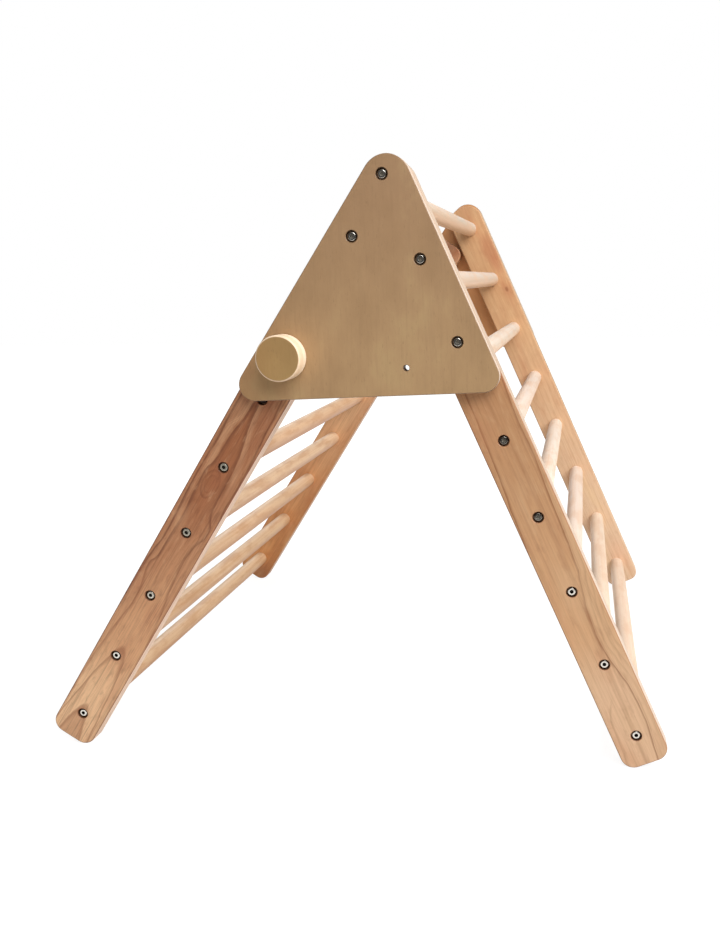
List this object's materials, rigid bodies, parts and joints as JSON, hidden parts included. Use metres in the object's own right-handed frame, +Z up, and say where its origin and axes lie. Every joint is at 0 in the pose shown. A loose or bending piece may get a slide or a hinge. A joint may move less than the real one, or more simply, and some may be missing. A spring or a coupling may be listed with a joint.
{
  "type": "foldable climbing frame",
  "caption": "Folding wooden climbing frame: two ladders of round rungs joined near the top by triangular plywood side panels, with a locking knob on each side.",
  "frame": {"origin": "middle of the standing frame's bounding box, on the floor", "axes": "+Z up, the rungs run along Y, the steeper fixed ladder is on the +X side and the folding ladder on the -X side"},
  "size_m": [0.8022, 0.8302, 0.7331],
  "materials": {
    "fixed_rail_wood": "satin clear lacquer",
    "swing_rail_wood": "satin clear lacquer",
    "rung_beech": "satin",
    "panel_plywood": "satin",
    "knob_wood": "satin",
    "plated_steel": "zinc plated"
  },
  "bodies": {
    "fixed_frame": {"fixed_rail_near": "fixed_rail_wood", "fixed_rail_far": "fixed_rail_wood", "fixed_rung_1": "rung_beech", "fixed_rung_2": "rung_beech", "fixed_rung_3": "rung_beech", "fixed_rung_4": "rung_beech", "fixed_rung_5": "rung_beech", "fixed_rung_6": "rung_beech", "fixed_rung_7": "rung_beech", "fixed_rung_8": "rung_beech", "side_panel_near": "panel_plywood", "side_panel_far": "panel_plywood", "pivot_bolt_near": "plated_steel", "pivot_bolt_far": "plated_steel", "pivot_washer_near": "plated_steel", "pivot_washer_far": "plated_steel", "pivot_nut_near": "plated_steel", "pivot_nut_far": "plated_steel", "panel_bolt_near_1": "plated_steel", "panel_bolt_near_2": "plated_steel", "panel_bolt_near_3": "plated_steel", "panel_bolt_far_1": "plated_steel", "panel_bolt_far_2": "plated_steel", "panel_bolt_far_3": "plated_steel", "fixed_rung_bolt_near_4": "plated_steel", "fixed_rung_bolt_near_5": "plated_steel", "fixed_rung_bolt_near_6": "plated_steel", "fixed_rung_bolt_near_7": "plated_steel", "fixed_rung_bolt_near_8": "plated_steel", "fixed_rung_bolt_far_4": "plated_steel", "fixed_rung_bolt_far_5": "plated_steel", "fixed_rung_bolt_far_6": "plated_steel", "fixed_rung_bolt_far_7": "plated_steel", "fixed_rung_bolt_far_8": "plated_steel"},
    "swing_frame": {"swing_rail_near": "swing_rail_wood", "swing_rail_far": "swing_rail_wood", "swing_rung_1": "rung_beech", "swing_rung_2": "rung_beech", "swing_rung_3": "rung_beech", "swing_rung_4": "rung_beech", "swing_rung_5": "rung_beech", "swing_rung_6": "rung_beech", "swing_rung_7": "rung_beech", "swing_rung_bolt_near_2": "plated_steel", "swing_rung_bolt_near_3": "plated_steel", "swing_rung_bolt_near_4": "plated_steel", "swing_rung_bolt_near_5": "plated_steel", "swing_rung_bolt_near_6": "plated_steel", "swing_rung_bolt_near_7": "plated_steel", "swing_rung_bolt_far_2": "plated_steel", "swing_rung_bolt_far_3": "plated_steel", "swing_rung_bolt_far_4": "plated_steel", "swing_rung_bolt_far_5": "plated_steel", "swing_rung_bolt_far_6": "plated_steel", "swing_rung_bolt_far_7": "plated_steel"},
    "lock_near": {"lock_knob_near": "knob_wood", "lock_stud_near": "plated_steel"},
    "lock_far": {"lock_knob_far": "knob_wood", "lock_stud_far": "plated_steel"}
  },
  "joints": [
    {"name": "fold", "type": "hinge", "parent": "fixed_frame", "child": "swing_frame", "pos_m": [0.03741, 0, 0.64495], "axis": [0, -1, 0], "range_deg": [0, 54]},
    {"name": "lock_draw_near", "type": "slide", "parent": "fixed_frame", "child": "lock_near", "axis": [0, -1, 0], "range_m": [0, 0.03]},
    {"name": "lock_draw_far", "type": "slide", "parent": "fixed_frame", "child": "lock_far", "axis": [0, 1, 0], "range_m": [0, 0.03]}
  ]
}
